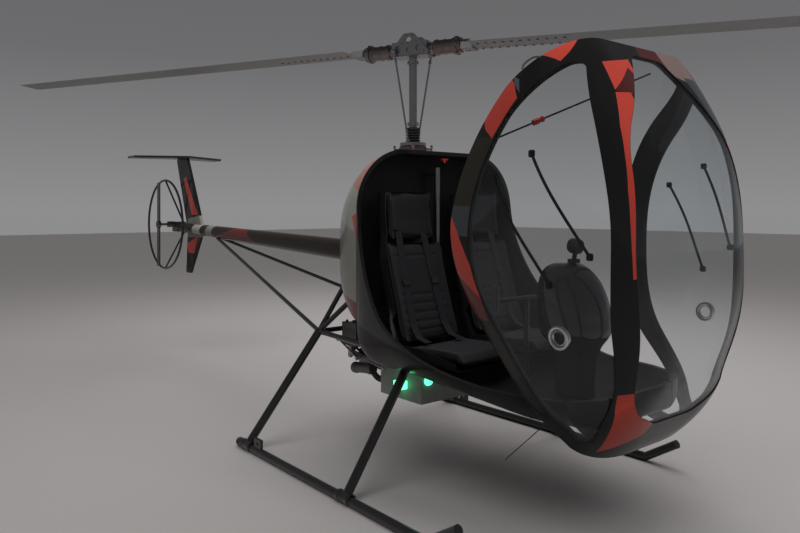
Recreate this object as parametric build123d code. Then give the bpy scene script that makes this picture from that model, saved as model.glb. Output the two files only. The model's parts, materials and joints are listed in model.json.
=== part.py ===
from build123d import *
import math
import os

# Light two-seat helicopter on skids, at its real size, in millimetres.
# +X is forward, +Y is port, +Z is up. The pieces are drawn with the mast axis at X 0, Y 0
# and the floor at Z 0. At the end they are all moved along X so that the origin lies at
# the bottom centre of the whole machine.

# Cabin body
WALL = 22.0                  # fixed composite shell
CANOPY_WALL = 26.0           # tilting front shell
GLASS_DEPTH = 4.0            # outer face of the glass below the outer skin
GLASS = 5.0
NOSE_STEP = 36.0             # how far the tub draws in under the canopy at the nose
RIM_X = 257.0                # rear edge of the cabin opening
SILL_Z = 653.0               # lower edge of the cabin opening
RIM_RADIUS = 899.0
SEAM = 7.0                   # gap between canopy and cabin when closed
COWL_FOOT = 865.0            # lower edge of the rear shell at the rim
COWL_TAIL = (-640.0, 1060.0)
COWL_NOSE = (1000.0, 705.0)   # the same edge runs on along the tub
BULKHEAD_X = 112.0
BULKHEAD = 12.0

# Canopy hinge and its open angle
HINGE_X = 1364.0
HINGE_Z = 568.0
OPEN_ANGLE = 49.3
HINGE_Y = 250.0
HINGE_PIN = 16.0
ARM = 12.0

# Rotor
MAST_DIA = 50.0
MAST_FOOT = 1240.0
HUB_Z = 2480.0
ROTOR_RADIUS = 3570.0
BLADE_CHORD = 200.0
BLADE_THICK = 24.0
BLADE_ROOT = 420.0
ROTOR_AZIMUTH = 24.0
DROOP = {"blade_forward": 1.9, "blade_aft": -0.5}
COLLAR_DIA = 150.0

# Tail
BOOM_ROOT = (-330.0, 1175.0)
BOOM_END = (-3640.0, 1290.0)
BOOM_DIA = (160.0, 96.0)
TAIL_AXIS = (-3730.0, 1320.0)
TAIL_ROTOR_RADIUS = 420.0
TAIL_ROTOR_Y = -205.0
RING_RADIUS = 447.0
RING_TUBE = 22.0
RING_Y = -140.0

# Landing gear
SKID_Y = 860.0
SKID_DIA = 48.0
SKID_REAR = -660.0
SKID_BEND = 1100.0
SKID_TIP = (1300.0, 147.0)
LEG_DIA = 50.0
REAR_LEG = ((-560.0, SKID_Y), (-420.0, 430.0, 700.0))
FRONT_LEG = ((484.0, SKID_Y), (460.0, 450.0, 600.0))
HANDLING_X = -420.0
HANDLING_BORE = 20.0

SIDES = (("right", -1), ("left", 1))

os.makedirs("parts", exist_ok=True)
nodes = {}


def rod(start, end, diameter):
    axis = Vector(*end) - Vector(*start)
    return Solid.make_cylinder(diameter / 2, axis.length, Plane(origin=start, z_dir=axis))


def cone(start, end, start_dia, end_dia):
    axis = Vector(*end) - Vector(*start)
    place = Plane(origin=start, z_dir=axis)
    return Solid.make_cone(start_dia / 2, end_dia / 2, axis.length, place)


def box(x0, x1, y0, y1, z0, z1):
    return Pos((x0 + x1) / 2, (y0 + y1) / 2, (z0 + z1) / 2) * Box(x1 - x0, y1 - y0, z1 - z0)


def rounded_face(corners, radii):
    """Flat face from its corner points, each corner with its own radius."""
    edges = []
    ends = []
    for i, corner in enumerate(corners):
        to_last = (corners[i - 1] - corner).normalized()
        to_next = (corners[(i + 1) % len(corners)] - corner).normalized()
        half_angle = math.radians(to_last.get_angle(to_next)) / 2
        run = radii[i] / math.tan(half_angle)
        start = corner + to_last * run
        end = corner + to_next * run
        if radii[i]:
            middle = (to_last + to_next).normalized()
            reach = radii[i] / math.sin(half_angle) - radii[i]
            edges.append(Edge.make_three_point_arc(start, corner + middle * reach, end))
        ends.append((start, end))
    for i in range(len(corners)):
        edges.append(Edge.make_line(ends[i - 1][1], ends[i][0]))
    return Face(Wire(edges))


def side_plate(points, y0, y1, radii=None):
    """Prism across the machine from a side view outline, corner radii point by point."""
    corners = [Vector(x, 0, z) for x, z in points]
    face = rounded_face(corners, radii or [0.0] * len(corners))
    return Pos(0, y0, 0) * Solid.extrude(face, Vector(0, y1 - y0, 0))


# Cross sections of the cabin body, canopy closed.
# x, lowest z, highest z, half width, top corner radius, bottom corner radius
RIM_STATION = (RIM_X, 595, 1825, 623, 346, 233)
REAR_STATIONS = (
    (-640, 1081, 1291, 105, 99, 99),
    (-420, 960, 1475, 268, 200, 150),
    (-200, 850, 1680, 415, 310, 220),
    (0, 760, 1795, 530, 380, 260),
    (150, 680, 1820, 592, 365, 270),
    RIM_STATION,
)
FRONT_STATIONS = (
    RIM_STATION,
    (460, 579, 1795, 686, 404, 335),
    (679, 558, 1741, 708, 436, 378),
    (880, 532, 1673, 670, 442, 343),
    (1075, 506, 1576, 615, 445, 299),
    (1240, 485, 1451, 592, 433, 288),
    (1396, 475, 1286, 563, 404, 275),
    (1560, 476, 1045, 470, 300, 170),
    (1620, 482, 900, 395, 190, 130),
    (1658, 505, 770, 270, 110, 95),
    (1668, 545, 700, 150, 65, 62),
)


NOSE_START = 7   # index of the station where the blunt nose begins


def section(x, low, high, half, top_radius, low_radius):
    """Eight sided rounded outline in the plane at x."""
    diagonal = math.sqrt(0.5)

    def arc(y, z, radius, y_sign, z_sign, turn):
        ends = [Vector(x, y + y_sign * radius, z), Vector(x, y, z + z_sign * radius)]
        if turn:
            ends.reverse()
        middle = Vector(x, y + y_sign * radius * diagonal, z + z_sign * radius * diagonal)
        return Edge.make_three_point_arc(ends[0], middle, ends[1])

    top_y = half - top_radius
    low_y = half - low_radius
    top_z = high - top_radius
    low_z = low + low_radius
    corners = (
        arc(top_y, top_z, top_radius, 1, 1, False),
        arc(-top_y, top_z, top_radius, -1, 1, True),
        arc(-low_y, low_z, low_radius, -1, -1, False),
        arc(low_y, low_z, low_radius, 1, -1, True),
    )
    edges = []
    for i, corner in enumerate(corners):
        edges.append(corner)
        edges.append(Edge.make_line(corner @ 1, corners[(i + 1) % 4] @ 0))
    return Wire(edges)


def drawn_in(x, inward, station):
    """One section, moved in from the outer skin by the same distance all round."""
    low, high, half, top_radius, low_radius = station[1:]
    return section(
        x, low + inward, high - inward, half - inward,
        max(top_radius - inward, 6.0), max(low_radius - inward, 6.0))


def front_hull(inset, nose_step=0.0, rear_end=0.0):
    """Solid front of the cabin, from the rim to the nose."""
    wires = []
    last = FRONT_STATIONS[-1][0]
    for station in FRONT_STATIONS:
        share = (station[0] - RIM_X) / (last - RIM_X)
        inward = inset + nose_step * share
        x = station[0] - inward * share - rear_end * (1 - share)
        wires.append(drawn_in(x, inward, station))
    body = Solid.make_loft(wires[:NOSE_START + 1])
    nose = Solid.make_loft(wires[NOSE_START:])
    return (body + nose).solids()[0]


def rear_hull(inset, past_ends=0.0):
    """Solid rear of the cabin, from the rim to the boom."""
    wires = []
    first = REAR_STATIONS[0][0]
    for station in REAR_STATIONS:
        share = (RIM_X - station[0]) / (RIM_X - first)
        x = station[0] + past_ends * (1 - 2 * share)
        wires.append(drawn_in(x, inset, station))
    return Solid.make_loft(wires)


def opening_region(gap):
    """Everything above the sill and forward of the rear rim."""
    x = RIM_X + gap
    z = SILL_Z + gap
    return side_plate(
        ((2400, z), (2400, 2400), (x, 2400), (x, z)), -900, 900,
        (0, 0, 0, RIM_RADIUS - gap))


skin = front_hull(0.0)
cabin_inside = rear_hull(WALL, 5.0)
tub_inside = front_hull(WALL, NOSE_STEP, 5.0)
fixed_opening = opening_region(0.0)

# Rear shell over the engine bay, open below, with the hole for the mast. It runs on past
# the rim to the curved edge of the cabin opening.
below_cowl = side_plate(
    ((COWL_TAIL[0] - 100, COWL_TAIL[1] + 20), (COWL_TAIL[0] - 100, 300), (COWL_NOSE[0], 300),
     COWL_NOSE, (RIM_X, COWL_FOOT), COWL_TAIL), -900, 900)
front_skin = front_hull(0.0, NOSE_STEP) - fixed_opening
rear_shell = (rear_hull(0.0) - below_cowl) - cabin_inside
cheeks = (front_skin & box(RIM_X, COWL_NOSE[0], -900, 900, 600, 1700)) - below_cowl - tub_inside
mast_hole = Pos(0, 0, 1800) * Cylinder(COLLAR_DIA / 2, 400)
rear_shell = rear_shell - mast_hole + cheeks
nodes["rear_shell"] = rear_shell.solids().sort_by(SortBy.VOLUME)[-1]
print("rear_shell valid", nodes["rear_shell"].is_valid, len(rear_shell.solids()))

# Floor tub from the rear shell to the nose, under the canopy
above_cowl = side_plate(
    ((RIM_X - 10, COWL_FOOT), (RIM_X, COWL_FOOT), COWL_NOSE, (COWL_NOSE[0], 2400),
     (RIM_X - 10, 2400)), -900, 900)
port_half = box(RIM_X - 50, 1800, 0, 900, 300, 2000)
slot = box(HINGE_X - 26, 1760, HINGE_Y - 14, HINGE_Y + 14, 300, 700)
half_tub = (front_skin & port_half) - above_cowl - tub_inside - slot
half_tub = half_tub.solids().sort_by(SortBy.VOLUME)[-1]
nodes["floor_tub"] = half_tub + mirror(half_tub, Plane.XZ)
print("floor_tub valid", nodes["floor_tub"].is_valid)

# Bulkhead behind the seats, down to the rear edge of the tub
FOLD_Z = 905.0
bulkhead = side_plate(
    ((BULKHEAD_X, 1830), (BULKHEAD_X, FOLD_Z), (RIM_X - BULKHEAD, 600), (RIM_X, 600),
     (RIM_X, 616), (BULKHEAD_X + BULKHEAD, FOLD_Z + 5), (BULKHEAD_X + BULKHEAD, 1830)),
    -640, 640)
nodes["bulkhead"] = (bulkhead & cabin_inside).solids().sort_by(SortBy.VOLUME)[-1]

# Seat box on the tub floor and two bucket seats
seat_box = box(360, 830, -540, 540, 570, 660) - nodes["floor_tub"]
nodes["seat_box"] = seat_box.solids().sort_by(SortBy.VOLUME)[-1]
SEAT_SIDE = (
    (860, 660.3), (905, 700), (900, 765), (640, 735), (470, 735), (330, 1180), (275, 1400),
    (262, 1585), (200, 1585), (190, 1400), (255, 1130), (380, 660.3))
SEAT_ROUND = (0, 20, 30, 60, 40, 80, 60, 28, 28, 60, 60, 0)
for side, s in SIDES:
    nodes["seat_" + side] = side_plate(
        SEAT_SIDE, s * 280 - 205, s * 280 + 205, SEAT_ROUND)

# Instrument pod and its pedestal on the centre line
pedestal = box(1120, 1360, -85, 85, 510, 860) - nodes["floor_tub"]
pedestal = pedestal.solids().sort_by(SortBy.VOLUME)[-1]
pod = side_plate(
    ((1060, 820), (1070, 1170), (1130, 1215), (1290, 1200), (1400, 1030), (1420, 850)),
    -175, 175, (20, 25, 60, 60, 60, 30))
POD_FRONT = ((-175, 820), (175, 820), (175, 1215), (-175, 1215))
pod_front = rounded_face([Vector(0, y, z) for y, z in POD_FRONT], (30, 30, 150, 150))
pod = pod & (Pos(1040, 0, 0) * Solid.extrude(pod_front, Vector(400, 0, 0)))
nodes["instrument_pod"] = (pedestal + pod).solids()[0]

# Cyclic stick with its cross bar, on the floor between the seats
stick = rod((925, 0, 540), (930, 0, 1010), 28) - nodes["floor_tub"]
stick = stick.solids().sort_by(SortBy.VOLUME)[-1]
stick = stick + rod((930, -250, 1010), (930, 250, 1010), 22)
for s in (-1, 1):
    stick = stick + rod((930, s * 240, 960), (930, s * 240, 1090), 34)
nodes["cyclic_bar"] = stick.solids()[0]

# Control tube between the seat backs
TUBE_X = 225.0
tube = rod((TUBE_X, 0, 1250), (TUBE_X, 0, 1730), 34)
for z in (1300, 1690):
    tube = tube + rod((BULKHEAD_X + BULKHEAD + 0.3, 0, z), (TUBE_X, 0, z), 20)
nodes["control_tube"] = tube

# Tail boom
boom_axis = Vector(BOOM_END[0] - BOOM_ROOT[0], 0, BOOM_END[1] - BOOM_ROOT[1])
boom = cone((BOOM_ROOT[0], 0, BOOM_ROOT[1]), (BOOM_END[0], 0, BOOM_END[1]), *BOOM_DIA)
nodes["tail_boom"] = boom

# Frame tubes of the engine bay, one welded piece
FRAME_DIA = 32.0
RUNS = (
    ((-420, 430, 700), (50, 445, 690)),
    ((50, 445, 690), (440, 450, 574)),
    ((-420, 430, 700), (-300, 250, 1090)),
    ((-420, 430, 700), (-60, 330, 1010)),
    ((50, 445, 690), (-60, 330, 1010)),
    ((-300, 250, 1090), (-60, 330, 1010)),
)
frame = rod((-420, -430, 700), (-420, 430, 700), FRAME_DIA)
frame = frame + rod((50, -445, 690), (50, 445, 690), FRAME_DIA)
frame = frame + rod((440, -450, 574), (440, 450, 574), FRAME_DIA)
frame = frame + rod((-300, -250, 1090), (-300, 250, 1090), FRAME_DIA)
frame = frame + rod((-60, -330, 1010), (-60, 330, 1010), FRAME_DIA)
for s in (-1, 1):
    for start, end in RUNS:
        frame = frame + rod(
            (start[0], s * start[1], start[2]), (end[0], s * end[1], end[2]), FRAME_DIA)
        frame = frame + Pos(end[0], s * end[1], end[2]) * Sphere(FRAME_DIA / 2)
    frame = frame + Pos(-420, s * 430, 700) * Sphere(FRAME_DIA / 2 + 8)
frame = frame - nodes["bulkhead"] - nodes["floor_tub"] - nodes["rear_shell"] - boom
nodes["frame_tubes"] = frame.solids().sort_by(SortBy.VOLUME)[-1]

# Skids with their handling lugs, and the legs
for side, s in SIDES:
    z = SKID_DIA / 2
    skid = rod((SKID_REAR, s * SKID_Y, z), (SKID_BEND, s * SKID_Y, z), SKID_DIA)
    skid = skid + Pos(SKID_BEND, s * SKID_Y, z) * Sphere(SKID_DIA / 2)
    skid = skid + rod(
        (SKID_BEND, s * SKID_Y, z), (SKID_TIP[0], s * SKID_Y, SKID_TIP[1]), SKID_DIA)
    lug = box(HANDLING_X - 40, HANDLING_X + 40, s * SKID_Y - 8, s * SKID_Y + 8, z, 100)
    bore = rod(
        (HANDLING_X, s * SKID_Y - 20, 72), (HANDLING_X, s * SKID_Y + 20, 72), HANDLING_BORE)
    nodes["skid_" + side] = (skid + lug - bore).solids()[0]
    for name, (foot, top) in (("rear", REAR_LEG), ("front", FRONT_LEG)):
        leg = rod((foot[0], s * foot[1], z), (top[0], s * top[1], top[2]), LEG_DIA)
        leg = leg - nodes["skid_" + side] - nodes["frame_tubes"] - nodes["floor_tub"]
        nodes["leg_" + name + "_" + side] = leg.solids().sort_by(SortBy.VOLUME)[-1]

# Two braces from the frame to the underside of the boom
braces = []
for s in (-1, 1):
    brace = rod((-420, s * 430, 700), (-2760, s * 22, 1205), 28)
    braces.append((brace - frame - boom - nodes["leg_rear_right"] - nodes["leg_rear_left"])
                  .solids().sort_by(SortBy.VOLUME)[-1])
nodes["boom_braces"] = Compound(children=braces)

# Engine, a flat four with two cylinders a side, gearbox above
engine = box(-330, 170, -150, 150, 560, 860)
for s in (-1, 1):
    for x in (-210, 50):
        engine = engine + Pos(x, s * 230, 700) * Rot(90, 0, 0) * Cylinder(60, 180)
        engine = engine + box(x - 75, x + 75, s * 325 - 20, s * 325 + 20, 630, 770)
        for fin in range(7):
            y = s * (170 + fin * 20)
            engine = engine + Pos(x, y, 700) * Rot(90, 0, 0) * Cylinder(84, 7)
engine = engine - nodes["frame_tubes"] - nodes["bulkhead"]
nodes["engine"] = engine.solids().sort_by(SortBy.VOLUME)[-1]
gearbox = box(-110, 90, -110, 110, 860, 1160) + Pos(0, 0, 1200) * Cylinder(50, 80)
gearbox = gearbox - Pos(0, 0, 1300) * Cylinder(MAST_DIA / 2 + 0.3, 124)
gearbox = gearbox - nodes["frame_tubes"] - nodes["bulkhead"]
nodes["main_gearbox"] = gearbox.solids().sort_by(SortBy.VOLUME)[-1]
muffler = rod((-400, -200, 620), (-400, 200, 620), 110)
for y in (-120, 120):
    muffler = muffler + rod((-400, y, 620), (-420, y, 700), 20)
nodes["muffler"] = (muffler - nodes["frame_tubes"]).solids().sort_by(SortBy.VOLUME)[-1]
pipes = []
for s in (-1, 1):
    for x in (-210, 50):
        bends = ((x, 325, 650), (x - 20, 318, 565), (-310, 250, 560), (-400, 150, 600))
        bends = [(a, s * b, c) for a, b, c in bends]
        pipe = Pos(*bends[1]) * Sphere(17) + Pos(*bends[2]) * Sphere(17)
        for start, end in zip(bends, bends[1:]):
            pipe = pipe + rod(start, end, 34)
        pipe = pipe - nodes["engine"] - nodes["muffler"] - nodes["frame_tubes"]
        pipes.append(pipe.solids().sort_by(SortBy.VOLUME)[-1])
nodes["exhaust_pipes"] = Compound(children=pipes)

# Belly box under the floor, with the two position lamps
belly = box(120, 480, -350, 350, 405, 610) - nodes["frame_tubes"]
belly = belly - nodes["floor_tub"] - nodes["bulkhead"] - nodes["engine"]
for side in ("right", "left"):
    belly = belly - nodes["leg_front_" + side]
nodes["belly_box"] = belly.solids().sort_by(SortBy.VOLUME)[-1]
for side, s in SIDES:
    nodes["nav_light_" + side] = box(300, 360, s * 375 - 25, s * 375 + 25, 470, 515)
whip = rod((1223, 0, 524), (780, 0, 110), 5) - nodes["floor_tub"]
nodes["whip_antenna"] = whip.solids().sort_by(SortBy.VOLUME)[-1]

# Tail: gearbox, fins, stabiliser, guard ring with two stays
axis_x = TAIL_AXIS[0]
axis_z = TAIL_AXIS[1]
tail_gearbox = box(axis_x - 45, axis_x + 90, -45, 45, axis_z - 75, axis_z + 25)
tail_gearbox = tail_gearbox + rod((axis_x, -45, axis_z), (axis_x, -110, axis_z), 60)
tail_gearbox = tail_gearbox - boom
tail_gearbox = tail_gearbox - rod((axis_x, -60, axis_z), (axis_x, -120, axis_z), 24.6)
nodes["tail_gearbox"] = tail_gearbox.solids().sort_by(SortBy.VOLUME)[-1]
fin_upper = side_plate(
    ((-3120, 1290), (-3485, 1985), (-3737, 1985), (-3470, 1290)), -14, 14, (0, 20, 20, 0))
nodes["fin_upper"] = (fin_upper - boom - nodes["tail_gearbox"]).solids().sort_by(SortBy.VOLUME)[-1]
fin_lower = side_plate(
    ((-3106, 1270), (-3400, 840), (-3500, 840), (-3460, 1270)), -12, 12, (0, 20, 20, 0))
nodes["fin_lower"] = (fin_lower - boom - nodes["tail_gearbox"]).solids().sort_by(SortBy.VOLUME)[-1]
half_tail = Polyline((-3450, 0), (-3700, 460), (-3890, 460), (-3740, 0), close=True)
stabiliser = extrude(make_face(half_tail), 22)
stabiliser = stabiliser + mirror(stabiliser, Plane.XZ)
nodes["stabiliser"] = (Pos(0, 0, 1985) * stabiliser).solids()[0]
ring = Pos(axis_x, RING_Y, axis_z) * Rot(90, 0, 0) * Torus(RING_RADIUS, RING_TUBE / 2)
ring = ring + rod((axis_x + 20, RING_Y, axis_z + 440), (axis_x + 200, 0, axis_z - 40), 18)
ring = ring + rod((axis_x + 20, RING_Y, axis_z - 440), (axis_x + 200, 0, axis_z - 40), 18)
ring = ring - boom - nodes["tail_gearbox"] - nodes["fin_upper"] - nodes["fin_lower"]
nodes["guard_ring"] = ring.solids().sort_by(SortBy.VOLUME)[-1]

# Tail rotor, turning about an axis across the machine
hub_y = TAIL_ROTOR_Y
tail_hub = rod((axis_x, -61, axis_z), (axis_x, hub_y - 20, axis_z), 24)
tail_hub = tail_hub + rod((axis_x, hub_y - 16, axis_z), (axis_x, hub_y + 16, axis_z), 70)
nodes["tail_rotor_hub"] = tail_hub.solids()[0]
tail_blades = []
for s in (-1, 1):
    blade = box(axis_x - 32, axis_x + 32, hub_y - 5, hub_y + 5, 30, TAIL_ROTOR_RADIUS)
    blade = Pos(axis_x, 0, axis_z) * Rot(0, 0 if s > 0 else 180, 0) * Pos(-axis_x, 0, 0) * blade
    tail_blades.append(blade - tail_hub)
nodes["tail_blades"] = Compound(children=[b.solids()[0] for b in tail_blades])

# Main rotor: mast, hub, two blades, control parts
nodes["mast"] = Pos(0, 0, (MAST_FOOT + HUB_Z - 45) / 2) * Cylinder(
    MAST_DIA / 2, HUB_Z - 45 - MAST_FOOT)
SWASH_Z = 1885.0
boot_foot = SWASH_Z + 10.3
boot = Pos(0, 0, boot_foot + 48) * Cylinder(48, 96) - nodes["mast"]
nodes["mast_boot"] = boot
turn = Rot(0, 0, ROTOR_AZIMUTH)
hub = box(-120, 120, -60, 60, -45, 45)
hub = hub + rod((-380, 0, 0), (380, 0, 0), 70)
HORN = (90.0, 85.0)
CHEEK = ((-150, -40), (150, -40), (34, 95), (-34, 95))
CHEEK_HOLES = ((-72, -2, 46), (72, -2, 46), (0, 52, 40), (0, -8, 36))   # x, z, diameter
for s in (-1, 1):
    cheek = side_plate(CHEEK, s * 64 - 4, s * 64 + 4, (14, 14, 26, 26))
    for x, z, hole in CHEEK_HOLES:
        cheek = cheek - rod((x, s * 64 - 10, z), (x, s * 64 + 10, z), hole)
    hub = hub + cheek
for s in (-1, 1):
    hub = hub + rod((s * HORN[0], 0, 0), (s * HORN[0], s * HORN[1], 0), 24)
nodes["rotor_hub"] = Pos(0, 0, HUB_Z) * turn * hub
for name, start in (("blade_forward", 0), ("blade_aft", 180)):
    profile = Plane.YZ * Polyline(
        (BLADE_CHORD * 0.27, 0), (BLADE_CHORD * 0.2, 11), (0, BLADE_THICK / 2),
        (-BLADE_CHORD * 0.73, 0), (0, -BLADE_THICK / 2), (BLADE_CHORD * 0.2, -11),
        close=True)
    blade = extrude(make_face(profile), ROTOR_RADIUS - BLADE_ROOT)
    blade = Pos(BLADE_ROOT, 0, 0) * blade
    if start:
        blade = mirror(blade, Plane.XZ)
    cuff = box(340, BLADE_ROOT, -50, 50, -20, 20)
    blade = blade + cuff
    blade = blade - (Rot(0, DROOP[name], 0) * hub if start == 0 else hub)
    tilted = Rot(0, DROOP[name], 0) * blade
    placed = Pos(0, 0, HUB_Z) * turn * Rot(0, 0, start) * tilted
    nodes[name] = (placed - nodes["rotor_hub"]).solids().sort_by(SortBy.VOLUME)[-1]
links = []
for s in (-1, 1):
    foot = (0, s * 66, SWASH_Z + 10.3)
    links.append(turn * rod(foot, (s * HORN[0], s * HORN[1], HUB_Z - 12.5), 12))
nodes["pitch_links"] = Compound(children=links)
upper = Cylinder(82, 20) - Cylinder(MAST_DIA / 2 + 0.3, 20)
nodes["swashplate_upper"] = Pos(0, 0, SWASH_Z) * upper
lower_z = SWASH_Z - 10 - 6 - 13
lower = Pos(0, 0, lower_z) * (Cylinder(86, 26) - Cylinder(MAST_DIA / 2 + 8, 26))
for angle in (30, 150, 270):
    x = 62 * math.cos(math.radians(angle))
    y = 62 * math.sin(math.radians(angle))
    lower = lower + rod((x, y, 1160.3), (x, y, lower_z), 14)
nodes["swashplate_lower"] = lower

# Canopy, drawn closed and then tilted forward about its hinge
canopy_region = opening_region(SEAM)
SIDE_WINDOW = ((1612, 705), (470, 788), (352, 1784), (866, 1588), (1520, 1006))
SIDE_WINDOW_ROUND = (45, 850, 40, 1500, 780)
SCREEN_CENTRE = (992.0, 1348.0)
SCREEN_SLOPE = 36.2          # degrees that the plane of the outline falls towards the nose
# Starboard half of the windscreen in that plane: down the slope, half width, corner radius
SCREEN_HALF = (
    (-810, 120, 80), (-400, 428, 400), (190, 455, 1500), (720, 350, 150), (800, 150, 150))
side_cutter = side_plate(SIDE_WINDOW, 150, 900, SIDE_WINDOW_ROUND)
corners = [Vector(along, -half, 0) for along, half, radius in SCREEN_HALF]
corners += [Vector(along, half, 0) for along, half, radius in reversed(SCREEN_HALF)]
radii = [row[2] for row in SCREEN_HALF] + [row[2] for row in reversed(SCREEN_HALF)]
screen = Pos(0, 0, -150) * Solid.extrude(rounded_face(corners, radii), Vector(0, 0, 1050))
screen = Pos(SCREEN_CENTRE[0], 0, SCREEN_CENTRE[1]) * Rot(0, SCREEN_SLOPE, 0) * screen
half_frame = (skin & canopy_region & port_half) - front_hull(CANOPY_WALL) - screen - side_cutter
arm = side_plate(
    ((HINGE_X - 20, HINGE_Z - 18), (HINGE_X + 130, HINGE_Z + 10), (1640, SILL_Z + 16),
     (1637, SILL_Z + 85), (HINGE_X + 120, HINGE_Z + 62), (HINGE_X - 20, HINGE_Z + 22)),
    HINGE_Y - ARM / 2, HINGE_Y + ARM / 2, (18, 60, 6, 6, 60, 18))
half_frame = half_frame + arm
half_frame = half_frame - rod((HINGE_X, 200, HINGE_Z), (HINGE_X, 300, HINGE_Z), HINGE_PIN + 0.6)
half_frame = half_frame.solids().sort_by(SortBy.VOLUME)[-1]
glass_outside = front_hull(GLASS_DEPTH)
glass_inside = front_hull(GLASS_DEPTH + GLASS)
pane = ((glass_outside & side_cutter) - glass_inside).solids().sort_by(SortBy.VOLUME)[-1]
screen_pane = (glass_outside & screen) - glass_inside
canopy_parts = {
    "canopy_frame": half_frame + mirror(half_frame, Plane.XZ),
    "windscreen": screen_pane.solids().sort_by(SortBy.VOLUME)[-1],
    "side_window_left": pane,
    "side_window_right": mirror(pane, Plane.XZ),
}
for name, solid in canopy_parts.items():
    print(name, "valid", solid.is_valid)
hinge = Pos(HINGE_X, 0, HINGE_Z)
tilt = hinge * Rot(0, OPEN_ANGLE, 0) * Pos(-HINGE_X, 0, -HINGE_Z)
for name, solid in canopy_parts.items():
    nodes[name] = tilt * solid

# Hinge pins in ears on the tub floor
hinges = []
for s in (-1, 1):
    ears = rod((HINGE_X, s * HINGE_Y - 30, HINGE_Z), (HINGE_X, s * HINGE_Y + 30, HINGE_Z),
               HINGE_PIN)
    for offset in (-22, 22):
        y = s * HINGE_Y + offset
        ear = box(HINGE_X - 28, HINGE_X + 20, y - 8, y + 8, 490, HINGE_Z + 14)
        ears = ears + (ear - nodes["floor_tub"]).solids().sort_by(SortBy.VOLUME)[-1]
    hinges.append(ears.solids().sort_by(SortBy.VOLUME)[-1])
nodes["canopy_hinges"] = Compound(children=hinges)

# Move everything so that the origin is the bottom centre of the overall box
boxes = [solid.bounding_box() for solid in nodes.values()]
middle_x = (min(b.min.X for b in boxes) + max(b.max.X for b in boxes)) / 2
to_centre = Pos(-middle_x, 0, 0)
for name, solid in nodes.items():
    export_step(to_centre * solid, "parts/" + name + ".step")
print("middle x", round(middle_x, 3))
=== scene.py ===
# %% [markdown]
# # A light helicopter with its bubble canopy tilted open
# The machine stands on two tube skids. Its front bubble, half paint and half clear plastic,
# is tilted forward, so the cabin with its two bucket seats lies open. Above the roof the
# bare mast carries a two bladed rotor, and a slim boom ends in a ringed tail rotor.
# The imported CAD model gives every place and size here. This script gives the looks.

# %% Load the CAD frame
import json
import math

import bmesh
import bpy
from mathutils import Matrix, Vector
from mathutils.bvhtree import BVHTree


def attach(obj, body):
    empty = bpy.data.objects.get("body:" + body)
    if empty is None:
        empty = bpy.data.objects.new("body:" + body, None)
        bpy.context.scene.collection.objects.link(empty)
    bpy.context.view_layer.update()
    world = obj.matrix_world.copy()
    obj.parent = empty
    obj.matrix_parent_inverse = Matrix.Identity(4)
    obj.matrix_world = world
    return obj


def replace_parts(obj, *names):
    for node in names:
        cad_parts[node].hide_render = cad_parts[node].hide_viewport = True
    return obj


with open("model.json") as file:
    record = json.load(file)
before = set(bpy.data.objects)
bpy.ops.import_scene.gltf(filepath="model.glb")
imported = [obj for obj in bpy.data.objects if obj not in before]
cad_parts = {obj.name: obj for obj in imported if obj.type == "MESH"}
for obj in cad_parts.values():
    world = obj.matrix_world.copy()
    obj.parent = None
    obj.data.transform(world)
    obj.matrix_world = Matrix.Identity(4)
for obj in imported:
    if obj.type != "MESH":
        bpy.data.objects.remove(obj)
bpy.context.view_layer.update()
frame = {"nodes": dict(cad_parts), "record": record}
NODES = frame["nodes"]
SLOT_OF = {row["node"]: row["material_slot"] for row in frame["record"]["subparts"]}

# %% [markdown]
# ## Camera
# The photograph was taken at standing height from the starboard bow, with the horizon above
# the middle of the picture. A level camera with a vertical shift keeps the mast upright,
# as it is there, where a tilted camera would make the uprights lean.

# %% Camera
MAST_X = 0.4345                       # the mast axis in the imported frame
BOW_START = 1.46 + MAST_X             # facets drawn in the bow view lie ahead of this
CAMERA_PLACE = (3.457 + MAST_X, -2.946, 1.485)
CAMERA_AIM = (-0.773, 0.635, 0.0)
camera_data = bpy.data.cameras.new("camera")
camera_data.lens = 32.4
camera_data.sensor_width = 36.0
camera_data.shift_y = -0.073
camera = bpy.data.objects.new("camera", camera_data)
camera.location = CAMERA_PLACE
camera.rotation_euler = Vector(CAMERA_AIM).to_track_quat("-Z", "Y").to_euler()
bpy.context.scene.collection.objects.link(camera)
bpy.context.scene.camera = camera
bpy.context.scene.view_settings.view_transform = "Standard"

# %% [markdown]
# ## Writing materials as sums
# A material is a graph of nodes. Writing it as Python sums is easier to read than wiring
# sockets, so one small class wraps a socket, and each operator adds its Math node. Every
# other node comes from one method, and each material files itself under its slot's name.

# %% The socket class and the node method
COATS = {}


class Field:
    """One output socket whose sums become Math nodes."""

    def __init__(self, graph, socket):
        self.graph = graph
        self.socket = socket

    def sum(self, operation, first, second=0.0):
        return self.graph.node("ShaderNodeMath", {"operation": operation}, {0: first, 1: second})

    def __add__(self, other):
        return self.sum("ADD", self, other)

    def __radd__(self, other):
        return self.sum("ADD", other, self)

    def __sub__(self, other):
        return self.sum("SUBTRACT", self, other)

    def __rsub__(self, other):
        return self.sum("SUBTRACT", other, self)

    def __mul__(self, other):
        return self.sum("MULTIPLY", self, other)

    def __rmul__(self, other):
        return self.sum("MULTIPLY", other, self)

    def __gt__(self, other):
        return self.sum("GREATER_THAN", self, other)

    def least(self, other):
        return self.sum("MINIMUM", self, other)


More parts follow.
